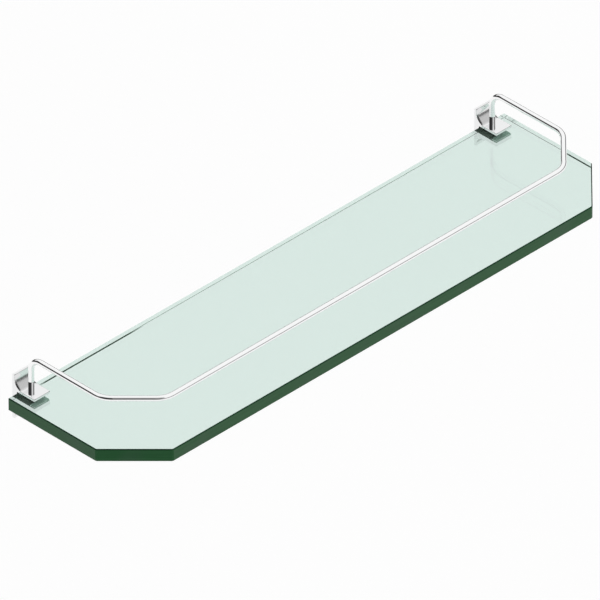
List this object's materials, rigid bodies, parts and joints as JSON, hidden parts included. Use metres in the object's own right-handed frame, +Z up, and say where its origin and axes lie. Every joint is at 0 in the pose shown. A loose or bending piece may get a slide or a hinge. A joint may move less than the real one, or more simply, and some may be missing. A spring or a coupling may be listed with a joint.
{
  "type": "glass wall shelf",
  "caption": "Glass wall shelf with clipped front corners, a bent chrome gallery rail round the ends and front, and hollow-curved chrome clamp brackets that hang on hidden wall plates.",
  "frame": {"origin": "centre of the wall screw pattern, on the wall plane, level with the middle of the glass", "axes": "+Z up, X along the wall with +X to the right of someone facing the wall, +Y into the wall; the shelf stands out to -Y"},
  "size_m": [0.561, 0.1486, 0.0677],
  "materials": {
    "glass": "polished green-tinted float glass with ground arrises",
    "chrome": "bright chrome plate on drawn brass rod",
    "chrome_casting": "bright chrome plate on a polished casting",
    "zinc_steel": "bright zinc plate on pressed steel",
    "screw_steel": "turned stainless steel",
    "pad_rubber": "black rubber, pale along the front lip of each pad"
  },
  "bodies": {
    "root": {"glass_panel": "glass", "gallery_rail": "chrome", "bracket_body_left": "chrome_casting", "wall_plate_left": "zinc_steel", "lock_screw_left": "screw_steel", "clamp_screw_left": "screw_steel", "rail_screw_left": "screw_steel", "upper_pad_left": "pad_rubber", "lower_pad_left": "pad_rubber", "back_buffer_left": "pad_rubber", "bracket_body_right": "chrome_casting", "wall_plate_right": "zinc_steel", "lock_screw_right": "screw_steel", "clamp_screw_right": "screw_steel", "rail_screw_right": "screw_steel", "upper_pad_right": "pad_rubber", "lower_pad_right": "pad_rubber", "back_buffer_right": "pad_rubber"}
  },
  "joints": []
}
